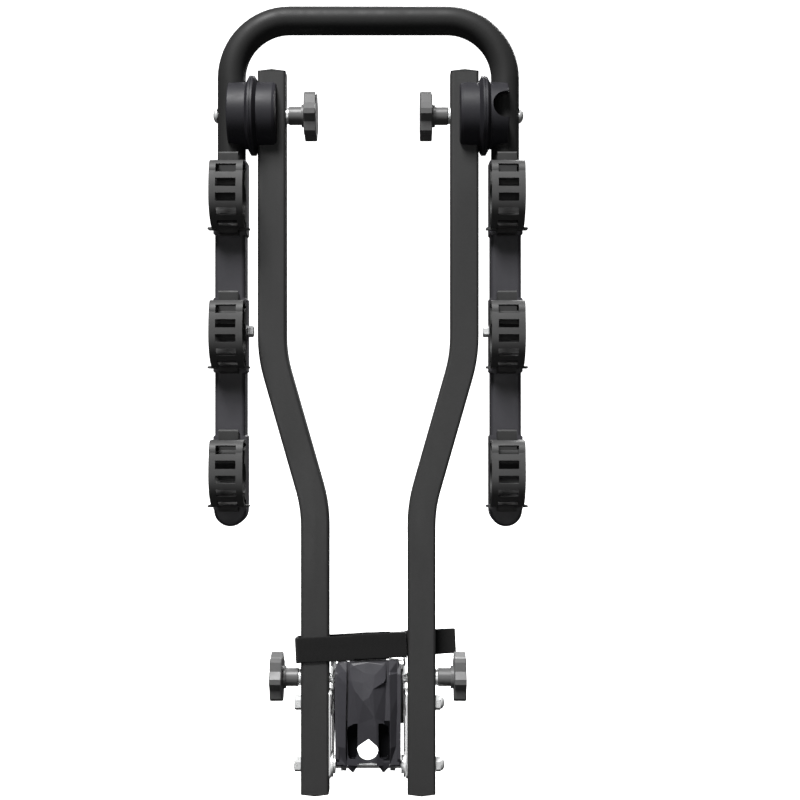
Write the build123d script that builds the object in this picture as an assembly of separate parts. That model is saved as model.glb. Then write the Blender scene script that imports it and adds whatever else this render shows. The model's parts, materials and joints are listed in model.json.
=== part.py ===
from build123d import *
import math
import os

# Tow-ball bike rack: two bent masts clamped on a tow ball, and a folding carrier
# with three cradles a side. All sizes are in millimetres.
# Frame: the origin is the tow ball's centre, +Z is up, +Y points to the car and +X to the
# right of someone who stands behind the rack and faces the car.

# ---- Driving dimensions ----
LEFT = -1
RIGHT = 1
SIDES = (("left", LEFT), ("right", RIGHT))
FIT = 0.05

MAST_Y = -30.0
MAST_WIDTH = 28.0
MAST_DEPTH = 22.0
MAST_WALL = 2.0
MAST_CORNER = 3.0
MAST_INNER_CORNER = 1.2
MAST_TOP_Z = 641.0
MAST_BOTTOM_Z = -76.0
UPPER_X = 95.8
LOWER_X = 53.0
BEND_TOP_Z = 359.0
BEND_LOW_Z = 209.0
MAST_BEND_R = 140.0
MAST_IN = UPPER_X - MAST_WIDTH / 2
MAST_OUT = LOWER_X + MAST_WIDTH / 2
CAP_RISE = 2.4
CAP_SLOPE = 0.11
CAP_DEPTH = 12.0

CARRIER_R = 14.0
CARRIER_WALL = 2.0
CARRIER_X = 136.6
CARRIER_TOP_Z = 694.0
CARRIER_BEND_R = 58.0
CARRIER_END_Z = 207.0

HUB_Z = 599.0
HUB_R = 33.0
HUB_FLANGE_R = 39.3
HUB_INNER_X = 90.7
HUB_SPLIT_X = 115.2
HUB_OUTER_X = 138.6
HUB_FLANGE = 5.6
HUB_GAP = 0.4
HUB_WINDOW_R = 13.5
HUB_WINDOW_Z = 604.5
RECESS_DEPTH = 1.2
RECESS_IN_R = 13.0
RECESS_OUT_R = 29.0

BOLT_R = 4.0
BOLT_HOLE_R = 4.3
NUT_FLATS = 13.0
NUT_HEIGHT = 6.5
DOME_NUT_HEIGHT = 9.0
THROUGH = 20.0

KNOB_Z = 38.0
KNOB_HEAD_R = 25.0
KNOB_HEAD = 12.0
KNOB_LOBES = 7
KNOB_COLLAR = 3.0
KNOB_BOSS = 13.0
KNOB_BOSS_R = 9.0
KNOB_COLLAR_R = 11.2
KNOB_WASHER = 2.3
WASHER_R = 8.0

RAIL_X = 136.4
RAIL_WIDTH = 30.0
RAIL_FRONT = 17.0
RAIL_BACK = 8.0
RAIL_TOP_Z = 549.0
RAIL_END_Z = 206.0
RAIL_END_R = 16.2
RAIL_BOLT_R = 2.95
RAIL_HOLE_R = 3.2
SWELL_LENGTH = 74.0

CRADLE_PITCH = 136.0
CRADLE_LOW_Z = 211.0
CRADLE_COUNT = 3
SEAT_R = 14.4
SEAT_HEIGHT = 28.0
STRAP_WIDTH = 32.6
STRAP_THICK = 3.0
STRAP_WINDOW = 19.7
STRAP_PITCH = 13.6
STRAP_LOW_R = 31.0
STRAP_BAR_R = 2.0
WING_REACH = 20.5
WING_THICK = 2.4

PIVOT_Z = -49.0
CHEEK_IN = 35.1
CHEEK_OUT = 37.3
PLATE_IN = 37.5
PLATE_OUT = LOWER_X - MAST_WIDTH / 2
PLATE_BOLT_Z = 12.5
CHEEK_SCREWS = ((14.0, -6.0), (14.0, 28.0))
BRIDGE_SCREW = (27.0, 10.0)

POCKET_R = 25.3
JAW_HALF = 28.3
JAW_FRONT_Y = -29.0
JAW_SPLIT_Y = -3.0
JAW_REAR_Y = 31.0
JAW_TOP_Z = 40.0
JAW_BOTTOM_Z = -15.0
JAW_TRAVEL = 6.5
PIN_X = 20.0
PIN_Z = 33.0
PIN_R = 3.5
SPRING_BORE_R = 6.2
SPRING_R = 4.9
SPRING_WIRE_R = 0.55
SPRING_TURNS = 5
LEG_IN = 21.5
LEG_OUT = 27.5
CAM_REACH = 12.0
LEVER_SWING = math.radians(80)

LEVER_HALF = 32.5
LEVER_TOP_Z = 54.5
LEVER_FRONT_Y = -51.0
LEVER_PANEL_Y = -46.0
LEVER_BACK_Y = -41.5
EYE_IN = 9.8
EYE_OUT = 20.8
SLOT_X = 15.8
SLOT_Z = -20.5
FINGER_Z = -30.5
FINGER_R = 11.0

WEB_WIDTH = 25.0
WEB_THICK = 1.6
WEB_Z = 69.9
WEB_TILT = 2.65
WEB_GAP = 0.4
WEB_LAYER = 2.4
WEB_LOOP_X = 87.2
WEB_END_X = -12.0
BUCKLE_X = 30.2
BUCKLE_WIDTH = 16.8
BUCKLE_SLOT = 12.4
BUCKLE_THICK = 1.4


# ---- Small helpers ----
def save(name, shape):
    export_step(shape, "parts/" + name + ".step")


def rod_x(radius, x_from, x_to, y, z):
    """A cylinder along X from x_from to x_to."""
    middle = (x_from + x_to) / 2
    return Pos(middle, y, z) * Rot(0, 90, 0) * Cylinder(radius, abs(x_to - x_from))


def rod_y(radius, y_from, y_to, x, z):
    """A cylinder along Y from y_from to y_to."""
    middle = (y_from + y_to) / 2
    return Pos(x, middle, z) * Rot(90, 0, 0) * Cylinder(radius, abs(y_to - y_from))


def block(x0, x1, y0, y1, z0, z1):
    """A box between two corners."""
    size = (abs(x1 - x0), abs(y1 - y0), abs(z1 - z0))
    return Pos((x0 + x1) / 2, (y0 + y1) / 2, (z0 + z1) / 2) * Box(*size)


def plate_x(sketch, x_from, x_to):
    """A side plate: a sketch drawn with Y to the right and Z up, made solid along X."""
    low, high = min(x_from, x_to), max(x_from, x_to)
    plane = Plane(origin=(low, 0, 0), x_dir=(0, 1, 0), z_dir=(1, 0, 0))
    return extrude(plane * sketch, high - low)


def spot(y, z, shape):
    """A sketch shape placed at (y, z) in a side plate's plane."""
    return Pos(y, z) * shape


def turned_x(profile, y, z):
    """A solid of revolution about the line along X at (y, z); profile points are (x, radius)."""
    plane = Plane(origin=(0, y, z), x_dir=(1, 0, 0), z_dir=(0, -1, 0))
    face = make_face(Polyline(*profile, close=True))
    return revolve(plane * face, Axis((0, y, z), (1, 0, 0)))


def hex_nut(x_seat, outward, y, z, height=NUT_HEIGHT, flats=NUT_FLATS, bore=BOLT_R):
    """A plain nut whose seat is at x_seat and which stands out along outward."""
    x_end = x_seat + outward * height
    side = RegularPolygon(flats / 2, 6, major_radius=False, rotation=30)
    nut = plate_x(spot(y, z, side), x_seat, x_end)
    corner_r = flats / 2 / math.cos(math.pi / 6)
    cone = turned_x([(x_seat, 0), (x_seat, corner_r + 1), (x_end - outward * 1.0, corner_r + 0.2),
                     (x_end, flats / 2 - 0.1), (x_end, 0)], y, z)
    return (nut & cone) - rod_x(bore, x_seat, x_end, y, z)


def dome_nut(x_seat, outward, y, z, height=DOME_NUT_HEIGHT, flats=NUT_FLATS):
    """A cap nut: a hexagon base under a rounded cap, with a blind thread."""
    base = flats * 0.42
    dome_r = flats / 2 - 0.3
    hexagon = hex_nut(x_seat, outward, y, z, base, flats, 0.5)
    plug = rod_x(1.0, x_seat, x_seat + outward * base, y, z)
    steps = 5
    arc = [(x_seat + outward * (base + (height - base) * math.sin(math.pi / 2 * i / steps)),
            dome_r * math.cos(math.pi / 2 * i / steps)) for i in range(steps)]
    start = x_seat + outward * (base - 0.2)
    dome = turned_x([(start, 0), (start, dome_r)] + arc + [(x_seat + outward * height, 0)], y, z)
    return (hexagon + plug + dome) - rod_x(BOLT_R, x_seat, x_seat + outward * (height - 2.5), y, z)


def carriage_bolt(x_head, inward, length, y, z, head_r=7.3, head=4.4, shank_r=BOLT_R - FIT):
    """A domed bolt whose head's underside is at x_head and whose shank runs along inward."""
    steps = 6
    outward = -inward
    arc = [(x_head + outward * head * math.sin(math.pi / 2 * i / steps),
            head_r * math.cos(math.pi / 2 * i / steps)) for i in range(steps)]
    profile = [(x_head, 0), (x_head, head_r)] + arc[1:] + [(x_head + outward * head, 0)]
    return turned_x(profile, y, z) + rod_x(shank_r, x_head + outward * 0.5, x_head + inward * length, y, z)


# ---- Masts ----
def mast(side):
    path = FilletPolyline(
        (side * UPPER_X, MAST_Y, MAST_TOP_Z),
        (side * UPPER_X, MAST_Y, BEND_TOP_Z),
        (side * LOWER_X, MAST_Y, BEND_LOW_Z),
        (side * LOWER_X, MAST_Y, MAST_BOTTOM_Z),
        radius=MAST_BEND_R,
    )
    start = Plane(origin=path @ 0, x_dir=(1, 0, 0), z_dir=path % 0)
    outer = RectangleRounded(MAST_WIDTH, MAST_DEPTH, MAST_CORNER)
    inner = RectangleRounded(MAST_WIDTH - 2 * MAST_WALL, MAST_DEPTH - 2 * MAST_WALL, MAST_INNER_CORNER)
    tube = sweep(start * outer, path) - sweep(start * inner, path)
    for radius, x, z in ((BOLT_HOLE_R, UPPER_X, HUB_Z), (BOLT_HOLE_R, LOWER_X, KNOB_Z),
                         (BOLT_HOLE_R, LOWER_X, PLATE_BOLT_Z), (BOLT_R + FIT, LOWER_X, PIVOT_Z)):
        tube -= rod_x(radius, side * x - THROUGH, side * x + THROUGH, MAST_Y, z)
    return tube


def mast_plug(x, z_end, up):
    """A moulded end cap: a shallow pyramid over the tube's end with a hollow plug inside it."""
    outline = RectangleRounded(MAST_WIDTH, MAST_DEPTH, MAST_CORNER)
    cap = extrude(Pos(x, MAST_Y, z_end) * outline, up * CAP_RISE)
    spread = CAP_RISE / CAP_SLOPE
    foot = Pos(x, MAST_Y, z_end - up * CAP_RISE) * Rectangle(4 * spread, 4 * spread * MAST_DEPTH / MAST_WIDTH)
    tip = Pos(x, MAST_Y, z_end + up * CAP_RISE) * Rectangle(0.4, 0.4 * MAST_DEPTH / MAST_WIDTH)
    cap &= loft([foot, tip])
    clear = 2 * (MAST_WALL + 2 * FIT)
    core = clear + 2 * MAST_WALL
    stem = Pos(x, MAST_Y, z_end) * RectangleRounded(MAST_WIDTH - clear, MAST_DEPTH - clear, 1.1)
    hollow = Pos(x, MAST_Y, z_end) * RectangleRounded(MAST_WIDTH - core, MAST_DEPTH - core, 1.0)
    return cap + (extrude(stem, -up * CAP_DEPTH) - extrude(hollow, -up * CAP_DEPTH))


# ---- Folding hubs ----
def hub_inner(side):
    """The hub half that saddles the mast; its slot is open towards the middle of the rack."""
    web_x = UPPER_X + MAST_WIDTH / 2 + 0.1
    x = [side * v for v in (HUB_INNER_X, HUB_INNER_X + 3.5, HUB_SPLIT_X - HUB_FLANGE,
                            HUB_SPLIT_X - HUB_FLANGE + 3.4, HUB_SPLIT_X - HUB_GAP / 2)]
    body = turned_x([(x[0], 0), (x[0], HUB_R - 3.5), (x[0] + side * 1.0, HUB_R - 1.0), (x[1], HUB_R),
                     (x[2], HUB_R), (x[3], HUB_FLANGE_R), (x[4], HUB_FLANGE_R), (x[4], 0)], MAST_Y, HUB_Z)
    slot = MAST_DEPTH / 2 + 0.1
    reach = HUB_R + THROUGH
    body -= block(side * (HUB_INNER_X - 5), side * web_x, MAST_Y - slot, MAST_Y + slot,
                  HUB_Z - reach, HUB_Z + reach)
    body -= rod_x(BOLT_HOLE_R, side * (HUB_INNER_X - THROUGH), side * (HUB_SPLIT_X + THROUGH), MAST_Y, HUB_Z)
    bottom = x[4] - side * RECESS_DEPTH
    mouth = x[4] + side
    recess = turned_x([(bottom, RECESS_IN_R), (mouth, RECESS_IN_R),
                       (mouth, RECESS_OUT_R), (bottom, RECESS_OUT_R)], MAST_Y, HUB_Z)
    return body - recess


def friction_disc(side):
    """The fibre ring in the inner hub's recess that the outer half turns against."""
    back = side * (HUB_SPLIT_X - HUB_GAP / 2 - RECESS_DEPTH)
    front = side * (HUB_SPLIT_X - HUB_GAP / 2 + 0.1)
    inner = RECESS_IN_R + 0.4
    outer = RECESS_OUT_R - 0.4
    return turned_x([(back, inner), (front, inner), (front, outer), (back, outer)], MAST_Y, HUB_Z)


def hub_outer(side):
    """The hub half that saddles the carrier tube; the right one has a round front window."""
    x = [side * v for v in (HUB_SPLIT_X + HUB_GAP / 2, HUB_SPLIT_X + HUB_FLANGE - 3.4,
                            HUB_SPLIT_X + HUB_FLANGE, HUB_OUTER_X - 1.0, HUB_OUTER_X)]
    body = turned_x([(x[0], 0), (x[0], HUB_FLANGE_R), (x[1], HUB_FLANGE_R), (x[2], HUB_R), (x[3], HUB_R),
                     (x[4], HUB_R - 1.0), (x[4], 0)], MAST_Y, HUB_Z)
    body -= Pos(side * CARRIER_X, MAST_Y, HUB_Z) * Cylinder(CARRIER_R + 0.1, 120)
    body -= rod_x(BOLT_HOLE_R, side * (HUB_SPLIT_X - THROUGH), side * (HUB_OUTER_X + THROUGH), MAST_Y, HUB_Z)
    if side == RIGHT:
        body -= rod_y(HUB_WINDOW_R, MAST_Y - 50, MAST_Y, side * (CARRIER_X - 0.6), HUB_WINDOW_Z)
    return body


# ---- Star knobs ----
def star_knob(x_face, outward, y, z):
    """A seven-lobed knob: boss against the mast's washer, collar, then the faceted head."""
    boss_end = x_face + outward * KNOB_BOSS
    collar_end = boss_end + outward * KNOB_COLLAR
    head_end = collar_end + outward * KNOB_HEAD
    ring = []
    for i in range(KNOB_LOBES):
        centre = 2 * math.pi * i / KNOB_LOBES + math.pi
        for offset, reach in ((-0.10, 1.0), (0.10, 1.0), (math.pi / KNOB_LOBES, 0.86)):
            angle = centre + offset
            ring.append((KNOB_HEAD_R * reach * math.cos(angle), KNOB_HEAD_R * reach * math.sin(angle)))
    star = make_face(Polyline(*ring, close=True))
    head = plate_x(spot(y, z, star), collar_end, head_end)
    head = chamfer(head.edges().filter_by(Plane.YZ), 0.8)
    body = head + turned_x([(x_face, 0), (x_face, KNOB_BOSS_R - 0.8), (x_face + outward * 0.8, KNOB_BOSS_R),
                            (boss_end, KNOB_BOSS_R), (boss_end, KNOB_COLLAR_R), (collar_end, KNOB_COLLAR_R),
                            (collar_end, 0)], y, z)
    return body - rod_x(BOLT_HOLE_R, x_face, collar_end, y, z)


def washer(x_from, x_to, y, z):
    return rod_x(WASHER_R, x_from, x_to, y, z) - rod_x(BOLT_HOLE_R, x_from, x_to, y, z)


# ---- Carrier: bent tube, rails, cradles and straps ----
def carrier_tube():
    path = FilletPolyline(
        (-CARRIER_X, MAST_Y, CARRIER_END_Z),
        (-CARRIER_X, MAST_Y, CARRIER_TOP_Z),
        (CARRIER_X, MAST_Y, CARRIER_TOP_Z),
        (CARRIER_X, MAST_Y, CARRIER_END_Z),
        radius=CARRIER_BEND_R,
    )
    start = Plane(origin=path @ 0, x_dir=(1, 0, 0), z_dir=path % 0)
    tube = sweep(start * Circle(CARRIER_R), path) - sweep(start * Circle(CARRIER_R - CARRIER_WALL), path)
    for _, side in SIDES:
        near = side * (CARRIER_X - THROUGH)
        far = side * (CARRIER_X + THROUGH)
        tube -= rod_x(BOLT_HOLE_R, near, far, MAST_Y, HUB_Z)
        tube -= rod_x(RAIL_HOLE_R, near, far, MAST_Y, rail_bolt_z())
    return tube


def cradle_z(index):
    """Height of a cradle's bottom tab; index 1 is the topmost cradle."""
    return CRADLE_LOW_Z + CRADLE_PITCH * (CRADLE_COUNT - index)


def rail_bolt_z():
    return cradle_z(2) + 36.5


def arm_rail(side):
    """The moulded rail that hooks over the front of the carrier tube."""
    length = RAIL_TOP_Z - RAIL_END_Z
    front = MAST_Y - RAIL_FRONT
    back = MAST_Y + RAIL_BACK
    middle = Pos(side * RAIL_X, (front + back) / 2, RAIL_END_Z + length / 2)
    rail = middle * Box(RAIL_WIDTH, back - front, length)
    rail = fillet(rail.edges().filter_by(Axis.Z).group_by(Axis.Y)[0], 4.0)
    for index in range(1, CRADLE_COUNT + 1):
        z = cradle_z(index)
        rise = z + 32 - RAIL_END_Z - length / 2
        swell = middle * Pos(0, 0, rise) * Box(STRAP_WIDTH, back - front, SWELL_LENGTH)
        rail += chamfer(swell.edges().filter_by(Axis.Y), 1.2)
    nose = rod_y(RAIL_END_R, front + 1.5, back, side * RAIL_X, RAIL_END_Z)
    nose = fillet(nose.edges().group_by(Axis.Y)[0], 3.0)
    rail += nose
    channel = length + THROUGH
    rail -= Pos(side * CARRIER_X, MAST_Y, RAIL_END_Z + 0.5 + channel / 2) * Cylinder(CARRIER_R + 0.1, channel)
    rail -= rod_x(RAIL_HOLE_R, side * (RAIL_X - THROUGH), side * (RAIL_X + THROUGH), MAST_Y, rail_bolt_z())
    return rail


def seat_centre(index):
    """Centre (y, z) of the bike tube that lies in a cradle."""
    return MAST_Y - RAIL_FRONT - 2.0 - SEAT_R, cradle_z(index) + SEAT_HEIGHT


def saddle(side, index):
    """The rubber cradle: a concave seat between two tabs that hold the ladder strap."""
    z = cradle_z(index)
    face = MAST_Y - RAIL_FRONT
    outline = make_face(Polyline(
        (face, z + 2), (face - 2, z + 2), (face - 2, z + 6.5), (face - 12, z + 6.5), (face - 15, z + 10.5),
        (face - 15, z + 46), (face - 12, z + 55), (face - 2, z + 59), (face - 2, z + 61),
        (face, z + 61), close=True))
    outline -= spot(*seat_centre(index), Circle(SEAT_R))
    half = STRAP_WIDTH / 2
    body = plate_x(outline, side * RAIL_X - half, side * RAIL_X + half)
    tab_half = STRAP_WINDOW / 2 - 0.4
    x0, x1 = side * RAIL_X - tab_half, side * RAIL_X + tab_half
    top_tab = make_face(Polyline(
        (face - 8.4, z + 54), (face - 11.6, z + 54), (face - 12.0, z + 73.5), (face - 11.2, z + 75),
        (face - 9.0, z + 75), (face - 8.4, z + 74), close=True))
    peg = make_face(Polyline(
        (face - 7.5, z + 8), (face - 12, z + 8), (face - 12, z - 4.2), (face - 11, z - 5),
        (face - 8.3, z - 5), (face - 7.5, z - 4.4), close=True))
    backing = block(x0, x1, face - 2, face, z - 6, z + 73)
    return body + backing + plate_x(top_tab, x0, x1) + plate_x(peg, x0, x1)


def strap_hinge(index):
    """Centre (y, z) of the bar that a ladder strap swings on."""
    return MAST_Y - RAIL_FRONT - 5.0, cradle_z(index) + 62.3


def ladder_strap(side, index):
    """The rubber strap: a band with a row of windows, a bar at its top and two finger wings below."""
    z = cradle_z(index)
    hinge_y, hinge_z = strap_hinge(index)
    apex = Vector(MAST_Y - 50, z + STRAP_LOW_R)
    shoulder = Vector(MAST_Y - 47, z + 53)
    top = Line((hinge_y, z + 63.5), (MAST_Y - 37, z + 63.5))
    bend = TangentArc(top @ 1, shoulder, tangent=(-1, 0))
    upper = TangentArc(apex, shoulder, tangent=(0, 1))
    low_centre = Vector(apex.X + STRAP_LOW_R, apex.Y)
    lower = CenterArc(low_centre, STRAP_LOW_R, 180, 84)
    half = STRAP_WIDTH / 2
    x = side * RAIL_X
    band = plate_x(trace(Curve() + [top, bend, upper, lower], line_width=STRAP_THICK), x - half, x + half)
    band += rod_x(STRAP_BAR_R, x - half, x + half, hinge_y, hinge_z)

    # Windows: two on the upper bend, the rest round the lower arc, and the open fork at the end.
    def window(y_at, z_at, tilt, height):
        return Pos(x, y_at, z_at) * Rot(tilt, 0, 0) * Box(STRAP_WINDOW, 9, height)

    gap = STRAP_WINDOW / 2
    band -= block(x - gap, x + gap, hinge_y - STRAP_BAR_R - 0.4, MAST_Y - 38, z + 57, z + 68)
    band -= window(MAST_Y - 46.6, z + 55.6, -24, 8.6)
    band -= window(MAST_Y - 49.4, z + 41.6, -8, 8.2)
    for step in range(3):
        angle = 3.4 / STRAP_LOW_R + step * STRAP_PITCH / STRAP_LOW_R
        at = (low_centre.X - STRAP_LOW_R * math.cos(angle), low_centre.Y - STRAP_LOW_R * math.sin(angle))
        band -= window(*at, math.degrees(angle), 7.8)
    band -= block(x - gap, x + gap, MAST_Y - 30.6, MAST_Y - 15, z - 6, z + 6)
    for _, out in SIDES:
        wing = block(x + out * gap, x + out * WING_REACH, MAST_Y - 28, MAST_Y - 19.5,
                     z - WING_THICK / 2, z + WING_THICK / 2)
        band += fillet(wing.edges().filter_by(Axis.Y).group_by(Axis.X)[-1 if out > 0 else 0], 1.1)
    return band


# ---- Base: cheeks, jaws, pins and pivot ----
def cheek(side):
    """A zinc-plated side plate with the pivot hole below and an open slot for the knob's stud."""
    front = MAST_Y - MAST_DEPTH / 2 + 1
    outline = make_face(Polyline(
        (MAST_Y + 10.3, PIVOT_Z + 7), (MAST_Y + 10.5, 18), (MAST_Y + 9.5, 22), (front + 2, 27), (front, 29),
        (front, KNOB_Z - 5.4), (MAST_Y + 4.4, KNOB_Z - 5.4), (MAST_Y + 4.4, KNOB_Z + 4.4),
        (front, KNOB_Z + 4.4), (front, 50), (front + 5, 55), (MAST_Y + 22, 55), (28, 42), (35, 32),
        (35, -8), (28, -15), (5, -20), (MAST_Y + 12, PIVOT_Z - 4), close=True))
    outline += spot(MAST_Y, PIVOT_Z, Circle(12.5))
    plate = plate_x(outline, side * CHEEK_IN, side * CHEEK_OUT)
    near = side * (CHEEK_IN - 1)
    far = side * (CHEEK_OUT + 1)
    plate -= rod_x(BOLT_R, near, far, MAST_Y, PIVOT_Z)
    for y, z in CHEEK_SCREWS:
        plate -= rod_x(3.2, near, far, y, z)
    plate -= plate_x(spot(14, 10, RectangleRounded(9, 16, 4)), near, far)
    return plate


def ball_pocket(open_below):
    """The ball's space; below the equator it goes straight down where the jaw doesn't grip."""
    pocket = Sphere(POCKET_R)
    if open_below:
        pocket += Pos(0, 0, -15) * Cylinder(POCKET_R, 30)
    return pocket


def fixed_jaw():
    """The cast block behind and over the ball, between the cheeks."""
    front = JAW_SPLIT_Y + 0.5
    jaw = block(-CHEEK_IN, CHEEK_IN, front, JAW_REAR_Y, JAW_BOTTOM_Z, JAW_TOP_Z)
    jaw = chamfer(jaw.edges().filter_by(Axis.X).group_by(Axis.Y)[-1], 7)
    jaw -= ball_pocket(True)
    for _, side in SIDES:
        jaw -= rod_y(PIN_R, front - 1, 24, side * PIN_X, PIN_Z)
        jaw -= rod_y(SPRING_BORE_R, front - 1, 8, side * PIN_X, PIN_Z)
        jaw -= rod_y(2.6, 18, JAW_REAR_Y + 1, side * BRIDGE_SCREW[0], BRIDGE_SCREW[1])
        for y, z in CHEEK_SCREWS:
            jaw -= rod_x(3.0, side * 24, side * 36, y, z)
    return jaw


def moving_jaw():
    """The sliding block in front of the ball; two legs run down to the lever's cams."""
    jaw = block(-JAW_HALF, JAW_HALF, JAW_FRONT_Y, JAW_SPLIT_Y, JAW_BOTTOM_Z, JAW_TOP_Z)
    jaw = chamfer(jaw.edges().filter_by(Axis.X).group_by(Axis.Y)[0], 5)
    jaw -= ball_pocket(False)
    for _, side in SIDES:
        jaw -= rod_y(PIN_R + FIT, JAW_FRONT_Y - 1, JAW_SPLIT_Y + 1, side * PIN_X, PIN_Z)
        jaw += block(side * LEG_IN, side * LEG_OUT, cam_face_y(), cam_face_y() + 8,
                     PIVOT_Z - 3, JAW_BOTTOM_Z + 0.5)
    return jaw


def guide_pin(side):
    """A ground pin pressed into the fixed jaw, on which the moving jaw slides."""
    return rod_y(PIN_R, JAW_FRONT_Y - 11, 23.5, side * PIN_X, PIN_Z)


def pin_clip(side):
    """The ring that keeps the moving jaw on its pin, at the end of the jaw's travel."""
    low, high = JAW_FRONT_Y - 8.2, JAW_FRONT_Y - 7
    return rod_y(6.5, low, high, side * PIN_X, PIN_Z) - rod_y(PIN_R, low, high, side * PIN_X, PIN_Z)


def jaw_spring(side):
    """The coil in the fixed jaw's counterbore that opens the moving jaw."""
    low = JAW_SPLIT_Y + 0.6
    high = 7.9
    pitch = (high - low - 2 * SPRING_WIRE_R) / SPRING_TURNS
    helix = Helix(pitch=pitch, height=pitch * SPRING_TURNS, radius=SPRING_R)
    section = Plane(origin=helix @ 0, z_dir=helix % 0) * Circle(SPRING_WIRE_R)
    coil = sweep(section, helix, is_frenet=True)
    return Pos(side * PIN_X, low + SPRING_WIRE_R, PIN_Z) * Rot(-90, 0, 0) * coil


def rear_bridge():
    """The pressed plate that ties the cheeks together behind the fixed jaw."""
    plate = block(-CHEEK_IN, CHEEK_IN, JAW_REAR_Y + 0.1, JAW_REAR_Y + 4, JAW_BOTTOM_Z + 8, JAW_TOP_Z - 8)
    for _, side in SIDES:
        plate -= rod_y(3.2, JAW_REAR_Y - 1, JAW_REAR_Y + 6, side * BRIDGE_SCREW[0], BRIDGE_SCREW[1])
    plate -= Pos(0, JAW_REAR_Y + 2, 12) * Rot(90, 0, 0) * extrude(RectangleRounded(26, 20, 5), 6, both=True)
    return plate


def cap_screw(x_seat, outward, length, y, z, shank_r=2.9, head_r=5.0, head=4.5):
    """A socket screw along X whose head stands out from x_seat."""
    screw = rod_x(head_r, x_seat, x_seat + outward * head, y, z)
    screw = chamfer(screw.edges().filter_by(GeomType.CIRCLE).group_by(Axis.X)[-1 if outward > 0 else 0], 0.6)
    socket = spot(y, z, RegularPolygon(2.5, 6))
    screw -= plate_x(socket, x_seat + outward * (head - 2.5), x_seat + outward * (head + 1))
    return screw + rod_x(shank_r, x_seat + outward * 0.5, x_seat - outward * length, y, z)


def pivot_rod():
    return rod_x(BOLT_R, -MAST_OUT - 7.6, MAST_OUT + 6.4, MAST_Y, PIVOT_Z)


def tilt_plate(side):
    """The plate bolted to a mast's inner face that turns on the pivot rod."""
    outline = spot(MAST_Y, -18, RectangleRounded(20, 88, 6))
    plate = plate_x(outline, side * PLATE_IN, side * PLATE_OUT)
    near = side * (PLATE_IN - 1)
    far = side * (PLATE_OUT + 1)
    plate -= rod_x(BOLT_R + FIT, near, far, MAST_Y, PIVOT_Z)
    plate -= rod_x(BOLT_HOLE_R, near, far, MAST_Y, PLATE_BOLT_Z)
    return plate


# ---- Lever and cams ----
def cam_face_y():
    """Front face of the moving jaw's legs, a little clear of the cams."""
    return MAST_Y + CAM_REACH + 0.3


def lever_cam(side):
    """A cam whose reach falls evenly with the lever's angle, so that the jaw follows in proportion."""
    slope = JAW_TRAVEL / LEVER_SWING
    steps = 10
    rim = []
    for i in range(steps + 1):
        turn = -LEVER_SWING * i / steps
        reach = CAM_REACH + slope * turn
        rim.append((MAST_Y + reach * math.cos(turn) - slope * math.sin(turn),
                    PIVOT_Z + reach * math.sin(turn) + slope * math.cos(turn)))
    face = make_face(Curve() + [Spline(*rim), Polyline(
        rim[-1], (MAST_Y - 5.2, PIVOT_Z - 5.2), (MAST_Y - 6.5, PIVOT_Z),
        (MAST_Y - 4.5, PIVOT_Z + 6), rim[0])])
    cam = plate_x(face, side * (LEG_IN + 0.3), side * (LEG_OUT - 0.3))
    return cam - rod_x(BOLT_R + FIT, side * LEG_IN, side * LEG_OUT, MAST_Y, PIVOT_Z)


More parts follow.
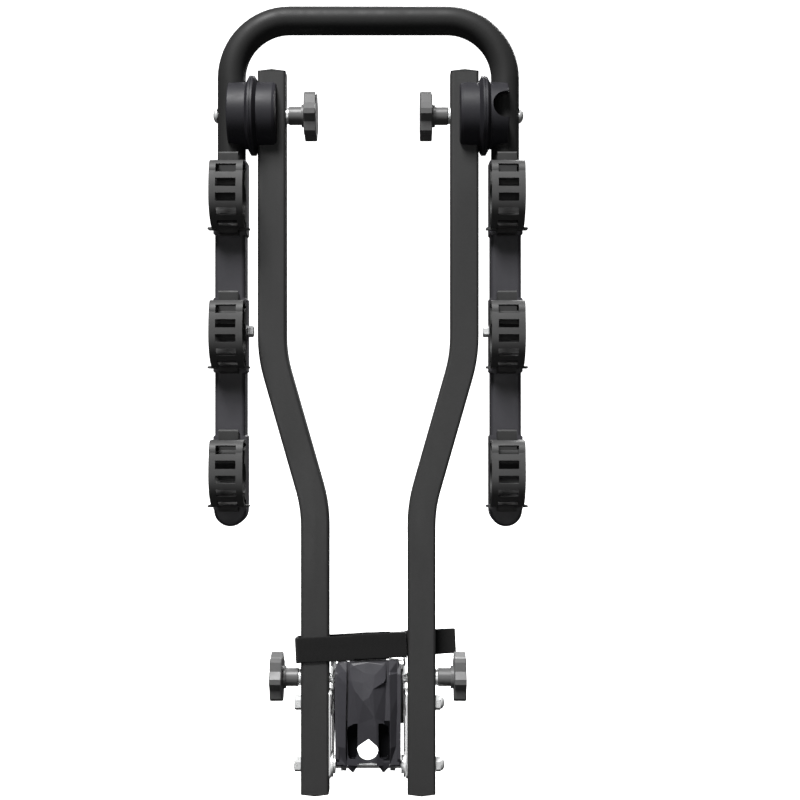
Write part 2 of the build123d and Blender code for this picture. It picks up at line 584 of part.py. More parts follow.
def clamp_lever():
    """The moulded lever: a faceted panel between two side flanges, with a finger hole near its foot."""
    front = LEVER_FRONT_Y
    back = LEVER_BACK_Y
    edge = LEVER_HALF
    side_view = make_face(Polyline(
        (back, LEVER_TOP_Z), (back - 3, LEVER_TOP_Z), (LEVER_PANEL_Y - 2.5, 48), (LEVER_PANEL_Y - 3.5, 38),
        (LEVER_PANEL_Y - 2.5, 0), (LEVER_PANEL_Y - 0.5, -40), (MAST_Y - 12, PIVOT_Z + 1),
        (MAST_Y + 5, PIVOT_Z + 1), (MAST_Y + 5, PIVOT_Z + 14), (MAST_Y - 2, -20), (MAST_Y - 6.5, 20),
        (back + 2.5, 30), close=True))
    shell = plate_x(side_view, -edge, edge)
    shell -= block(-edge + 3.7, edge - 3.7, back, 0, -80, 80)
    shell -= block(-edge + 8.5, edge - 8.5, front - 5, LEVER_PANEL_Y, -80, 80)
    panel_top = make_face(Polyline(
        (-22, 50), (-20, 44), (-17.5, 34), (-5, 16), (0, 10),
        (6, 18), (19, 30), (20, 42), (14, 50), (0, 52.5),
        close=True))
    facing = Plane(origin=(0, LEVER_PANEL_Y + 1, 0), x_dir=(1, 0, 0), z_dir=(0, -1, 0))
    lever = shell + extrude(facing * panel_top, 5, taper=38)
    # Ribs behind the two dark slots, ending in the eyes that turn on the rod.
    for _, s in SIDES:
        rib = block(s * EYE_IN, s * EYE_OUT, LEVER_PANEL_Y + 1, MAST_Y - 4, PIVOT_Z + 3, 2)
        eye = plate_x(make_face(Polyline(
            (MAST_Y - 14, PIVOT_Z + 6), (MAST_Y - 12, PIVOT_Z - 3), (MAST_Y - 4, PIVOT_Z - 8.5),
            (MAST_Y + 5, PIVOT_Z - 6.5), (MAST_Y + 8, PIVOT_Z), (MAST_Y + 5, PIVOT_Z + 7.5),
            (MAST_Y - 4, PIVOT_Z + 9), close=True)), s * EYE_IN, s * EYE_OUT)
        lever += rib + eye
        slot = Plane(origin=(s * SLOT_X, MAST_Y - 8, SLOT_Z), x_dir=(1, 0, 0), z_dir=(0, -1, 0))
        lever -= extrude(slot * RectangleRounded(9, 36, 3.5), 20)
        lever -= block(s * (LEG_IN - 0.4), s * (LEG_OUT + 0.4), back, 10, -80, -10)
    hole = Plane(origin=(0, 0, FINGER_Z), x_dir=(1, 0, 0), z_dir=(0, -1, 0))
    peak = Polyline((-10.8, 2), (-9.5, 8), (0, 12.4), (9.5, 8), (10.8, 2), close=True)
    opening = Circle(FINGER_R) + make_face(peak)
    lever -= extrude(hole * opening, 70)
    lever -= block(-EYE_IN, EYE_IN, -60, 0, -80, -43.2)
    lever -= rod_x(BOLT_R + FIT, -edge - 1, edge + 1, MAST_Y, PIVOT_Z)
    return lever


# ---- Webbing ----
def web_strap():
    """The flat strap that ties the masts: in front of the left one, behind the right one."""
    near = MAST_Y - MAST_DEPTH / 2 - WEB_GAP - WEB_THICK / 2
    far = MAST_Y + MAST_DEPTH / 2 + WEB_GAP + WEB_THICK / 2
    left = -MAST_OUT - 4.8
    through = BUCKLE_X + 4.4
    line = FilletPolyline(
        (BUCKLE_X - BUCKLE_WIDTH / 2 - 0.8, near, 0), (left, near, 0), (left, far + 2.6, 0),
        (WEB_LOOP_X, far + 4.6, 0), (WEB_LOOP_X, far, 0), (through, far, 0),
        (through, near - WEB_LAYER, 0), (WEB_END_X, near - WEB_LAYER, 0), radius=1.2)
    start = Plane(origin=line @ 0, x_dir=(0, 0, 1), z_dir=line % 0)
    band = sweep(start * Rectangle(WEB_WIDTH, WEB_THICK), line)
    return Pos(0, 0, WEB_Z) * Rot(0, -WEB_TILT, 0) * band


def strap_buckle():
    """The pressed ladder buckle that the two ends of the strap pass through."""
    y = MAST_Y - MAST_DEPTH / 2 - WEB_GAP
    frame = Rectangle(BUCKLE_WIDTH, WEB_WIDTH + 4.8) - Rectangle(BUCKLE_SLOT, WEB_WIDTH + 1)
    plane = Plane(origin=(BUCKLE_X, y, 0), x_dir=(1, 0, 0), z_dir=(0, -1, 0))
    plate = extrude(plane * frame, BUCKLE_THICK)
    return Pos(0, 0, WEB_Z) * Rot(0, -WEB_TILT, 0) * plate


# ---- Assembly ----
def group(shapes):
    return Compound(children=list(shapes))


def pair(make):
    """One shape for each side, kept in one node."""
    return group(make(side) for _, side in SIDES)


def save_sides():
    """The nodes that come once for each side."""
    for name, side in SIDES:
        save("mast_" + name, mast(side))
        save("hub_inner_" + name, hub_inner(side))
        save("hub_outer_" + name, hub_outer(side))
        save("arm_rail_" + name, arm_rail(side))
        save("base_cheek_" + name, cheek(side))
        save("tilt_plate_" + name, tilt_plate(side))
        save("hinge_bolt_" + name, carriage_bolt(side * (CARRIER_X + CARRIER_R), -side, 86, MAST_Y, HUB_Z))
        save("knob_upper_" + name, star_knob(side * (MAST_IN - KNOB_WASHER), -side, MAST_Y, HUB_Z))
        save("knob_lower_" + name, star_knob(side * (MAST_OUT + KNOB_WASHER), side, MAST_Y, KNOB_Z))
        save("knob_stud_" + name, carriage_bolt(side * (CHEEK_IN - 0.1), side, 46, MAST_Y, KNOB_Z, 6.6, 2.1))
        for index in range(1, CRADLE_COUNT + 1):
            save("saddle_%s_%d" % (name, index), saddle(side, index))
            save("ladder_strap_%s_%d" % (name, index), ladder_strap(side, index))


def save_fasteners():
    """Washers, bolts, nuts and screws."""
    save("knob_washers_upper", pair(
        lambda s: washer(s * (MAST_IN - KNOB_WASHER + 0.1), s * MAST_IN, MAST_Y, HUB_Z)))
    save("knob_washers_lower", pair(
        lambda s: washer(s * MAST_OUT, s * (MAST_OUT + KNOB_WASHER - 0.1), MAST_Y, KNOB_Z)))
    save("plate_bolts", pair(
        lambda s: carriage_bolt(s * PLATE_IN, s, 36, MAST_Y, PLATE_BOLT_Z, 7.4, 2.1)))
    save("plate_nuts", group((
        hex_nut(-MAST_OUT, -1, MAST_Y, PLATE_BOLT_Z), dome_nut(MAST_OUT, 1, MAST_Y, PLATE_BOLT_Z))))
    save("pivot_nuts", group((
        hex_nut(-MAST_OUT - 0.3, -1, MAST_Y, PIVOT_Z), dome_nut(MAST_OUT + 0.3, 1, MAST_Y, PIVOT_Z))))
    ring = spot(MAST_Y, PIVOT_Z, Circle(9) - Circle(BOLT_R))
    save("pivot_spacers", pair(lambda s: plate_x(ring, s * (LEVER_HALF + 0.3), s * CHEEK_IN)))
    save("rail_bolts", pair(
        lambda s: carriage_bolt(s * (RAIL_X + STRAP_WIDTH / 2), -s, STRAP_WIDTH + 5, MAST_Y, rail_bolt_z(),
                                5.5, 2.4, RAIL_BOLT_R)))
    save("rail_nuts", pair(
        lambda s: hex_nut(s * (RAIL_X - STRAP_WIDTH / 2), -s, MAST_Y, rail_bolt_z(), 5.6, 10.0, RAIL_BOLT_R)))
    x, z = BRIDGE_SCREW
    y = JAW_REAR_Y + 4
    save("bridge_screws", pair(
        lambda s: rod_y(5.0, y, y + 4, s * x, z) + rod_y(2.5, 18.5, y + 0.5, s * x, z)))
    save("cheek_screws", group(
        cap_screw(s * CHEEK_OUT, s, 12, y, z) for _, s in SIDES for y, z in CHEEK_SCREWS))


def build():
    os.makedirs("parts", exist_ok=True)
    save_sides()
    save_fasteners()
    save("carrier_tube", carrier_tube())
    save("mast_plugs_top", pair(lambda s: mast_plug(s * UPPER_X, MAST_TOP_Z, 1)))
    save("mast_plugs_bottom", pair(lambda s: mast_plug(s * LOWER_X, MAST_BOTTOM_Z, -1)))
    save("friction_discs", pair(friction_disc))
    save("pivot_rod", pivot_rod())
    save("fixed_jaw", fixed_jaw())
    save("moving_jaw", moving_jaw())
    save("jaw_guide_pins", pair(guide_pin))
    save("pin_clips", pair(pin_clip))
    save("jaw_springs", pair(jaw_spring))
    save("rear_bridge", rear_bridge())
    save("clamp_lever", clamp_lever())
    save("lever_cams", pair(lever_cam))
    save("web_strap", web_strap())
    save("strap_buckle", strap_buckle())


if __name__ == "__main__":
    build()
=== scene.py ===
import json
import math

import bmesh
import bpy
from mathutils import Matrix, Vector


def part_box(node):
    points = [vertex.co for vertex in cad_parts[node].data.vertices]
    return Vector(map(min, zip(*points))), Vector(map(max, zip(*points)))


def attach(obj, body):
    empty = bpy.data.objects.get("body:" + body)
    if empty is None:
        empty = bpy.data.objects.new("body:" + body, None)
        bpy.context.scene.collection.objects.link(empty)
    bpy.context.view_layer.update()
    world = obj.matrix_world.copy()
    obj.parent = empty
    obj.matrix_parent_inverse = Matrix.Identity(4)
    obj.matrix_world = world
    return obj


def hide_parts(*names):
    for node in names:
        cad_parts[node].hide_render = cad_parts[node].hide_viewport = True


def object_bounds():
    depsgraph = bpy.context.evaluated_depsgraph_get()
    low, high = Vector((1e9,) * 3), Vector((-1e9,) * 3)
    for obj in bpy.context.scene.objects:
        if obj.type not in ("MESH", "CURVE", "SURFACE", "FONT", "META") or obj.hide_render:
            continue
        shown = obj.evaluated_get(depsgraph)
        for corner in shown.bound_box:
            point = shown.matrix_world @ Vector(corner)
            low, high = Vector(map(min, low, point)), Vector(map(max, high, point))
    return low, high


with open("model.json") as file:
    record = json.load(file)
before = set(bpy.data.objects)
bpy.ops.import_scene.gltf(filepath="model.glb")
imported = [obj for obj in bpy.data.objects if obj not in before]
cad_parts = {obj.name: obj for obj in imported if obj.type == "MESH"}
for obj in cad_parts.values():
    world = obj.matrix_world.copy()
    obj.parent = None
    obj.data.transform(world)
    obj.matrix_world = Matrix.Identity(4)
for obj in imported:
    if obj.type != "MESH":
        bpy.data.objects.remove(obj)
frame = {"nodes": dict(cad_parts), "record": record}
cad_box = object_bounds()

# A tow-ball bike rack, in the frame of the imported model: the origin is the tow ball's centre, +Z is up and
# the camera looks along +Y. The scene is in metres, and the sizes of the new pieces are in millimetres.

MM = 0.001
SIDES = (("left", -1), ("right", 1))
NODES = frame["nodes"]


def box_mm(node):
    """The low and high corners of a CAD node's box, in millimetres."""
    return tuple(tuple(value / MM for value in corner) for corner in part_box(node))


# The square masts and the rod that the lever turns on.
MAST_LOW, MAST_HIGH = box_mm("mast_left")
MAST_FRONT_Y = MAST_LOW[1]
MAST_BACK_Y = MAST_HIGH[1]
MAST_WIDTH = 28.0
ROD_LOW, ROD_HIGH = box_mm("pivot_rod")
PIVOT_Y = (ROD_LOW[1] + ROD_HIGH[1]) / 2
PIVOT_Z = (ROD_LOW[2] + ROD_HIGH[2]) / 2


# ---------------------------------------------------------------------------
# Small node-graph helpers
# ---------------------------------------------------------------------------
class Graph:
    """One material's node tree, with short calls for the nodes that the materials share."""

    def __init__(self, name, color, roughness, metallic=0.0):
        self.material = bpy.data.materials.new(name)
        self.material.use_nodes = True
        self.tree = self.material.node_tree
        self.shader = self.tree.nodes["Principled BSDF"]
        self.set("Base Color", (*color, 1.0))
        self.set("Roughness", roughness)
        self.set("Metallic", metallic)
        self.object = self.node("ShaderNodeTexCoord").outputs["Object"]

    def set(self, socket, value):
        """Gives one of the shader's inputs a fixed value."""
        self.shader.inputs[socket].default_value = value

    def node(self, kind, **settings):
        """Adds a node and sets its properties."""
        made = self.tree.nodes.new(kind)
        for key, value in settings.items():
            setattr(made, key, value)
        return made

    def link(self, source, target):
        """Joins an output to an input."""
        self.tree.links.new(source, target)

    def stretched(self, scale):
        """The object's own coordinates, in metres, stretched by scale along X, Y and Z."""
        mapping = self.node("ShaderNodeMapping")
        mapping.inputs["Scale"].default_value = scale
        self.link(self.object, mapping.inputs["Vector"])
        return mapping.outputs["Vector"]

    def noise(self, scale, detail=3.0, roughness=0.55, vector=None):
        """Cloudy noise from 0 to 1. scale is in features to the metre."""
        made = self.node("ShaderNodeTexNoise")
        made.inputs["Scale"].default_value = scale
        made.inputs["Detail"].default_value = detail
        made.inputs["Roughness"].default_value = roughness
        self.link(vector or self.object, made.inputs["Vector"])
        return made.outputs["Fac"]

    def cells(self, scale):
        """The distance from the middle of each cell."""
        made = self.node("ShaderNodeTexVoronoi", feature="F1")
        made.inputs["Scale"].default_value = scale
        self.link(self.object, made.inputs["Vector"])
        return made.outputs["Distance"]

    def spread(self, source, low, high, start=0.0, end=1.0):
        """Carries source from the range start to end over to the range low to high."""
        made = self.node("ShaderNodeMapRange")
        for key, value in (("From Min", start), ("From Max", end), ("To Min", low), ("To Max", high)):
            made.inputs[key].default_value = value
        self.link(source, made.inputs["Value"])
        return made.outputs["Result"]

    def math(self, operation, a, b=0.0):
        """One sum on numbers or outputs."""
        made = self.node("ShaderNodeMath", operation=operation)
        for index, value in enumerate((a, b)):
            if isinstance(value, (int, float)):
                made.inputs[index].default_value = value
            else:
                self.link(value, made.inputs[index])
        return made.outputs["Value"]

    def blend_color(self, fac, first, second):
        """first where fac is 0 and second where it is 1."""
        made = self.node("ShaderNodeMix", data_type="RGBA")
        self.link(fac, made.inputs["Factor"])
        for index, value in ((6, first), (7, second)):
            if isinstance(value, tuple):
                made.inputs[index].default_value = (*value, 1.0)
            else:
                self.link(value, made.inputs[index])
        return made.outputs[2]

    def edges(self, radius):
        """A mask that is 1 along edges and 0 on flat faces, used for edge wear and for painted edge
        highlights.
        """
        bevel = self.node("ShaderNodeBevel", samples=6)
        bevel.inputs["Radius"].default_value = radius
        geometry = self.node("ShaderNodeNewGeometry")
        dot = self.node("ShaderNodeVectorMath", operation="DOT_PRODUCT")
        self.link(bevel.outputs["Normal"], dot.inputs[0])
        self.link(geometry.outputs["Normal"], dot.inputs[1])
        # The cosine between the rounded normal and the true one falls near an edge.
        return self.spread(dot.outputs["Value"], 1.0, 0.0, 0.80, 0.985)

    def hollow_shade(self, reach):
        """A mask from ambient occlusion that rises to 1 in hollows, for painted shade there."""
        occlusion = self.node("ShaderNodeAmbientOcclusion", samples=8)
        occlusion.inputs["Distance"].default_value = reach
        return self.spread(occlusion.outputs["AO"], 1.0, 0.0, 0.35, 0.85)

    def bump(self, height, distance, strength=1.0, before=None):
        """A bumped normal, laid over the one in before. distance is the relief in metres."""
        made = self.node("ShaderNodeBump")
        made.inputs["Distance"].default_value = distance
        made.inputs["Strength"].default_value = strength
        self.link(height, made.inputs["Height"])
        if before is not None:
            self.link(before, made.inputs["Normal"])
        return made.outputs["Normal"]

    def finish(self, color=None, roughness=None, normal=None):
        """Links what was built to the shader and gives back the material."""
        for socket, source in (("Base Color", color), ("Roughness", roughness), ("Normal", normal)):
            if source is not None:
                self.link(source, self.shader.inputs[socket])
        return self.material


def lighter(color, factor):
    """The color times factor, at most white."""
    return tuple(min(1.0, c * factor) for c in color)


# ---------------------------------------------------------------------------
# Materials
# ---------------------------------------------------------------------------
# Colors are linear, and depths and pitches are in metres.
BARE_IRON = (0.30, 0.30, 0.31)
ZINC_STAIN = (0.52, 0.50, 0.46)
GRAIN_DEPTH = 0.00006
RIB_PITCH = 0.00125
YARN_ACROSS = 0.0016
YARN_ALONG = 0.0022


def powder_coat(name, color, roughness, sheen=0.42):
    """Baked powder paint: fine orange peel, soft tone drift, rubbed edges and a few hairline rubs."""
    g = Graph(name, color, roughness)
    g.set("Specular IOR Level", sheen)
    drift = g.spread(g.noise(9.0, 4.0), 0.0, 1.0, 0.3, 0.7)
    tone = g.blend_color(drift, lighter(color, 0.88), lighter(color, 1.12))
    speck = g.spread(g.noise(1400.0, 1.0), 0.0, 0.25, 0.62, 0.75)
    tone = g.blend_color(speck, tone, lighter(color, 1.9))
    pale_edge = g.math("MULTIPLY", g.edges(0.0009), g.spread(g.noise(60.0, 4.0), 0.0, 0.35, 0.42, 0.62))
    tone = g.blend_color(pale_edge, tone, lighter(color, 3.2))
    streak = g.noise(14.0, 5.0, 0.6, g.stretched((6.0, 6.0, 1.0)))
    rough = g.math("ADD", g.spread(streak, roughness - 0.06, roughness + 0.07, 0.3, 0.7),
                   g.math("MULTIPLY", pale_edge, -0.12))
    peel = g.bump(g.noise(620.0, 2.0), 0.00012, 0.35)
    fine = g.bump(g.noise(2600.0, 1.0), 0.00004, 0.3, peel)
    return g.finish(tone, rough, fine)


def moulded(name, color, roughness, grain=2300.0, sheen=0.4):
    """Moulded plastic: spark-eroded grain, slight flow marks and edges lightened as a painted highlight."""
    g = Graph(name, color, roughness)
    g.set("Specular IOR Level", sheen)
    drift = g.spread(g.noise(22.0, 3.0), 0.0, 1.0, 0.3, 0.7)
    tone = g.blend_color(drift, lighter(color, 0.9), lighter(color, 1.1))
    # Painted highlight: every edge is lightened by 10 to 30 percent towards 2.3 times the colour, more in
    # patches.
    pale_edge = g.math("MULTIPLY", g.edges(0.0007), g.spread(g.noise(90.0, 3.0), 0.1, 0.3, 0.4, 0.65))
    tone = g.blend_color(pale_edge, tone, lighter(color, 2.3))
    flow = g.noise(30.0, 4.0, 0.6, g.stretched((1.0, 1.0, 3.0)))
    rough = g.spread(flow, roughness - 0.05, roughness + 0.08, 0.3, 0.7)
    normal = g.bump(g.cells(grain), GRAIN_DEPTH, 0.35)
    normal = g.bump(g.noise(grain * 0.35, 2.0), GRAIN_DEPTH * 1.6, 0.3, normal)
    return g.finish(tone, rough, normal)


def rubber(name, color, roughness):
    """Moulded rubber: dull, faintly dusty, with a fine pebble, soft bloom in patches, a painted highlight
    along its edges and painted shade in its hollows.
    """
    g = Graph(name, color, roughness)
    g.set("Specular IOR Level", 0.35)
    bloom = g.spread(g.noise(45.0, 5.0, 0.65), 0.0, 0.5, 0.45, 0.75)
    tone = g.blend_color(bloom, color, lighter(color, 1.35))
    dust = g.spread(g.noise(1700.0, 2.0), 0.0, 0.35, 0.6, 0.8)
    tone = g.blend_color(dust, tone, lighter(color, 1.7))
    # Painted highlight: every edge is lightened evenly, by 30 percent towards 1.8 times the colour.
    pale_edge = g.math("MULTIPLY", g.edges(0.0008), 0.3)
    tone = g.blend_color(pale_edge, tone, lighter(color, 1.8))
    # Painted shade: hollows found by ambient occlusion are darkened towards 12 percent of the colour.
    tone = g.blend_color(g.hollow_shade(0.012), tone, lighter(color, 0.12))
    rough = g.spread(g.noise(70.0, 3.0), roughness - 0.08, roughness + 0.08, 0.3, 0.7)
    normal = g.bump(g.noise(1500.0, 3.0), 0.00010, 0.35)
    return g.finish(tone, rough, normal)


def zinc(name, color, roughness, spangle=260.0, metallic=1.0):
    """Bright zinc plate: pale spangle, fine rolling lines and small scuffs."""
    g = Graph(name, color, roughness, metallic)
    tint = g.spread(g.cells(spangle), 0.0, 1.0, 0.0, 0.9)
    tone = g.blend_color(tint, lighter(color, 0.9), lighter(color, 1.08))
    stain = g.spread(g.noise(40.0, 5.0, 0.65), 0.0, 0.2, 0.5, 0.75)
    tone = g.blend_color(stain, tone, ZINC_STAIN)
    rolled = g.noise(260.0, 3.0, 0.6, g.stretched((1.0, 0.06, 1.0)))
    rough = g.spread(rolled, roughness - 0.08, roughness + 0.14, 0.3, 0.7)
    normal = g.bump(rolled, 0.00003, 0.4)
    return g.finish(tone, rough, normal)


def casting(name, color, roughness):
    """A sand-cast surface under thin black dip paint."""
    g = Graph(name, color, roughness)
    lumps = g.noise(420.0, 4.0, 0.6)
    drift = g.spread(g.noise(30.0, 4.0), 0.0, 1.0, 0.3, 0.7)
    tone = g.blend_color(drift, lighter(color, 0.8), lighter(color, 1.25))
    pale_edge = g.math("MULTIPLY", g.edges(0.0011), g.spread(g.noise(120.0, 3.0), 0.0, 0.55, 0.4, 0.6))
    tone = g.blend_color(pale_edge, tone, BARE_IRON)
    rough = g.spread(lumps, roughness - 0.1, roughness + 0.1, 0.3, 0.7)
    normal = g.bump(lumps, 0.0003, 0.4)
    normal = g.bump(g.noise(1600.0, 2.0), 0.00006, 0.4, normal)
    return g.finish(tone, rough, normal)


def webbing_cloth(name, color):
    """Woven polyester webbing: cross ribs and a herringbone of warp yarns.

    Both are read from the band's own length and width, which its mesh carries as the attributes along and
    across, in metres."""
    g = Graph(name, color, 0.82)
    g.set("Sheen Weight", 0.25)
    g.set("Sheen Roughness", 0.5)
    g.set("Specular IOR Level", 0.25)
    along = g.node("ShaderNodeAttribute", attribute_name="along").outputs["Fac"]
    across = g.node("ShaderNodeAttribute", attribute_name="across").outputs["Fac"]
    rib = g.math("SINE", g.math("MULTIPLY", along, 2 * math.pi / RIB_PITCH))
    # Two mirrored slants on each side of the middle line make the herringbone.
    slant = g.math("ADD", g.math("MULTIPLY", g.math("ABSOLUTE", across), 2 * math.pi / YARN_ACROSS),
                   g.math("MULTIPLY", along, 2 * math.pi / YARN_ALONG))
    yarn = g.math("SINE", slant)
    weave = g.math("ADD", g.math("MULTIPLY", rib, 0.45), g.math("MULTIPLY", yarn, 0.55))
    fuzz = g.noise(2400.0, 3.0)
    raised = g.spread(weave, 0.0, 1.0, -1.0, 1.0)
    # Painted shade and highlight: the weave's low places are coloured darker and its raised yarns lighter,
    # following the bump.
    tone = g.blend_color(raised, lighter(color, 0.55), lighter(color, 1.5))
    tone = g.blend_color(g.spread(fuzz, 0.0, 0.3, 0.5, 0.75), tone, lighter(color, 2.6))
    normal = g.bump(weave, 0.00022, 0.7)
    normal = g.bump(fuzz, 0.00006, 0.4, normal)
    return g.finish(tone, g.spread(weave, 0.9, 0.72, -1.0, 1.0), normal)


def fibre(name, color):
    """Pressed friction fibre with short visible strands."""
    g = Graph(name, color, 0.75)
    strand = g.noise(900.0, 4.0, 0.7, g.stretched((1.0, 1.0, 0.3)))
    shade = g.spread(strand, 0.0, 1.0, 0.4, 0.65)
    tone = g.blend_color(shade, lighter(color, 0.6), lighter(color, 1.5))
    return g.finish(tone, g.spread(strand, 0.65, 0.9), g.bump(strand, 0.0001, 0.5))


MATERIALS = {
    "mast_paint": powder_coat("mast_powder_coat", (0.038, 0.038, 0.038), 0.46),
    "tube_paint": powder_coat("tube_powder_coat", (0.024, 0.024, 0.024), 0.52, 0.22),
    "hub_plastic": moulded("hub_nylon", (0.023, 0.0225, 0.027), 0.50, 2300.0, 0.28),
    "rail_plastic": moulded("rail_nylon", (0.054, 0.053, 0.060), 0.45),
    "plug_plastic": moulded("plug_polythene", (0.028, 0.028, 0.028), 0.5),
    "knob_plastic": moulded("knob_nylon", (0.120, 0.120, 0.120), 0.40, 1900.0, 0.5),
    "saddle_rubber": rubber("saddle_rubber", (0.040, 0.040, 0.040), 0.6),
    "strap_rubber": rubber("strap_rubber", (0.062, 0.062, 0.062), 0.55),
    "zinc_plate": zinc("zinc_sheet", (0.92, 0.93, 0.93), 0.36, 260.0, 0.3),
    "zinc_hardware": zinc("zinc_hardware", (0.88, 0.89, 0.89), 0.30, 700.0, 0.4),
    "spring_steel": zinc("ground_steel", (0.56, 0.56, 0.57), 0.3, 900.0),
    "cast_jaw": casting("dipped_casting", (0.045, 0.045, 0.048), 0.5),
    "lever_plastic": moulded("lever_nylon", (0.056, 0.055, 0.063), 0.4, 2600.0),
    # lever_slot is painted shade: a near-black lining that stands in for the shadow inside the lever's
    # slots.
    "lever_slot": moulded("lever_slot_painted_shade", (0.004, 0.004, 0.005), 0.7, 2600.0, 0.08),
    "friction_fibre": fibre("friction_fibre", (0.16, 0.13, 0.10)),
    "webbing": webbing_cloth("polyester_webbing", (0.0045, 0.0045, 0.0045)),
    "buckle_steel": zinc("buckle_steel", (0.86, 0.86, 0.86), 0.30, 600.0, 0.4),
}


def dress_cad_nodes():
    """Each CAD node takes its record slot's material and is shaded smooth; the springs already are."""
    for part in frame["record"]["subparts"]:
        node = NODES[part["node"]]
        node.data.materials.clear()
        node.data.materials.append(MATERIALS[part["material_slot"]])
        if part["node"] != "jaw_springs":
            smooth_by_angle(node)


# ---------------------------------------------------------------------------
# Mesh helpers
# ---------------------------------------------------------------------------
def add_object(name, mesh, slot, body):
    """A new piece with a mesh, its material slot and the body that it moves with."""
    made = bpy.data.objects.new(name, mesh)
    bpy.context.scene.collection.objects.link(made)
    made.data.materials.append(MATERIALS[slot])
    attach(made, body)
    return made


def smooth_by_angle(node, limit=32.0):
    """Shades a node smooth, with edges sharper than limit degrees left sharp."""
    for polygon in node.data.polygons:
        polygon.use_smooth = True
    node.data.set_sharp_from_angle(angle=math.radians(limit))


def finished_mesh(name, made):
    """A new mesh from a bmesh, which it uses up, with the faces turned outwards."""
    bmesh.ops.recalc_face_normals(made, faces=made.faces)
    mesh = bpy.data.meshes.new(name)
    made.to_mesh(mesh)
    made.free()
    return mesh


def face_outwards(mesh):
    """Turns the faces of a closed mesh outwards."""
    made = bmesh.new()
    made.from_mesh(mesh)
    bmesh.ops.recalc_face_normals(made, faces=made.faces)
    made.to_mesh(mesh)
    made.free()


def shell_mesh(name, points, facets):
    """A mesh from named points, given as (x, z, y) in millimetres, and facets that list their names."""
    order = list(points)
    mesh = bpy.data.meshes.new(name)
    verts = [(x * MM, y * MM, z * MM) for x, z, y in points.values()]
    mesh.from_pydata(verts, [], [[order.index(key) for key in facet] for facet in facets])
    mesh.validate()
    return mesh


def hull_mesh(name, points):
    """The convex hull of (x, y, z) points in millimetres."""
    made = bmesh.new()
    for x, y, z in points:
        made.verts.new((x * MM, y * MM, z * MM))
    bmesh.ops.convex_hull(made, input=made.verts)
    loose = [v for v in made.verts if not v.link_faces]
    bmesh.ops.delete(made, geom=loose, context="VERTS")
    return finished_mesh(name, made)


def prism_mesh(name, outline, axis, start, end):
    """An outline in the plane across axis (0 is X, 1 is Y), extruded along it, in millimetres."""
    count = len(outline)
    verts = []
    for level in (start, end):
        for a, b in outline:
            place = (level, a, b) if axis == 0 else (a, level, b)
            verts.append(tuple(c * MM for c in place))
    faces = [list(range(count)), list(range(2 * count - 1, count - 1, -1))]
    faces += [[i, (i + 1) % count, count + (i + 1) % count, count + i] for i in range(count)]
    mesh = bpy.data.meshes.new(name)
    mesh.from_pydata(verts, [], faces)
    face_outwards(mesh)
    return mesh


def joined(name, meshes):
    """One mesh from several."""
    made = bmesh.new()
    for mesh in meshes:
        made.from_mesh(mesh)
    mesh = bpy.data.meshes.new(name)
    made.to_mesh(mesh)
    made.free()
    return mesh


def arc(centre, radius, start, end, steps):
    """Points (a, b) along an arc, angles in degrees."""
    found = []
    for i in range(steps + 1):
        angle = math.radians(start + (end - start) * i / steps)
        found.append((centre[0] + radius * math.cos(angle), centre[1] + radius * math.sin(angle)))
    return found


def apply_cuts(node, cutters):
    """Subtracts the cutter meshes from the node and keeps the result in its mesh."""
    helpers = []
    for index, mesh in enumerate(cutters):
        helper = bpy.data.objects.new("cutter_%d" % index, mesh)
        bpy.context.scene.collection.objects.link(helper)
        helpers.append(helper)
        cut = node.modifiers.new("cut_%d" % index, "BOOLEAN")
        cut.operation = "DIFFERENCE"
        cut.solver = "EXACT"
        cut.object = helper
    graph = bpy.context.evaluated_depsgraph_get()
    result = bpy.data.meshes.new_from_object(node.evaluated_get(graph))
    node.modifiers.clear()
    old = node.data
    node.data = result
    result.name = old.name
    for helper in helpers:
        bpy.data.objects.remove(helper)


def rounded(node, width):
    """Rounds the sharp edges of a new piece by width, in millimetres."""
    bevel = node.modifiers.new("rounded", "BEVEL")
    bevel.width = width * MM
    bevel.segments = 2
    bevel.limit_method = "ANGLE"
    bevel.angle_limit = math.radians(28.0)
    bevel.harden_normals = True
    smooth_by_angle(node, 20.0)


# ---------------------------------------------------------------------------
# The clamp lever
# ---------------------------------------------------------------------------
# The openings in its front, in X and Z.
SLOT_LOW = -40.4
SLOT_HIGH = -4.6
SLOT_INNER = 10.2
SLOT_OUTER = 20.6
FINGER_Z = -32.0
FINGER_R = 10.6
FINGER_PEAK = (0.6, 12.6)
ROD_GAP = (-9.6, 8.8)
ROD_GAP_TOP = -43.8
GAP_LOW = -60.0
# The hole for the rod, along X.
ROD_HOLE_R = 4.1
ROD_HOLE_HALF = 40.0
# How far the cutters and the flat pieces reach in Y, and the walls in X.
CUT_FRONT = -70.0
SLOT_BACK = -35.0
HOLE_BACK = 10.0
GAP_BACK = -20.0
BACKING_FRONT = -43.4
BACKING_BACK = -41.2
POCKET_FRONT = -44.0
POCKET_BACK = -33.4
WALL_INNER = 28.9
WALL_OUTER = 32.4


def slot_outline(side):
    """The slanted dark slot beside the finger hole, in X and Z."""
    inner, outer = SLOT_INNER, SLOT_OUTER
    return [(side * x, z) for x, z in (
        (inner, SLOT_HIGH + 0.6), (inner + 4.0, SLOT_HIGH), (outer - 0.6, SLOT_HIGH - 3.4), (outer, -14.0),
        (outer - 0.9, SLOT_LOW + 3.0), (outer - 2.2, SLOT_LOW + 0.6), (outer - 4.2, SLOT_LOW),
        (inner + 2.2, SLOT_LOW + 0.4), (inner + 0.9, SLOT_LOW + 2.0), (inner + 0.2, -24.0))]


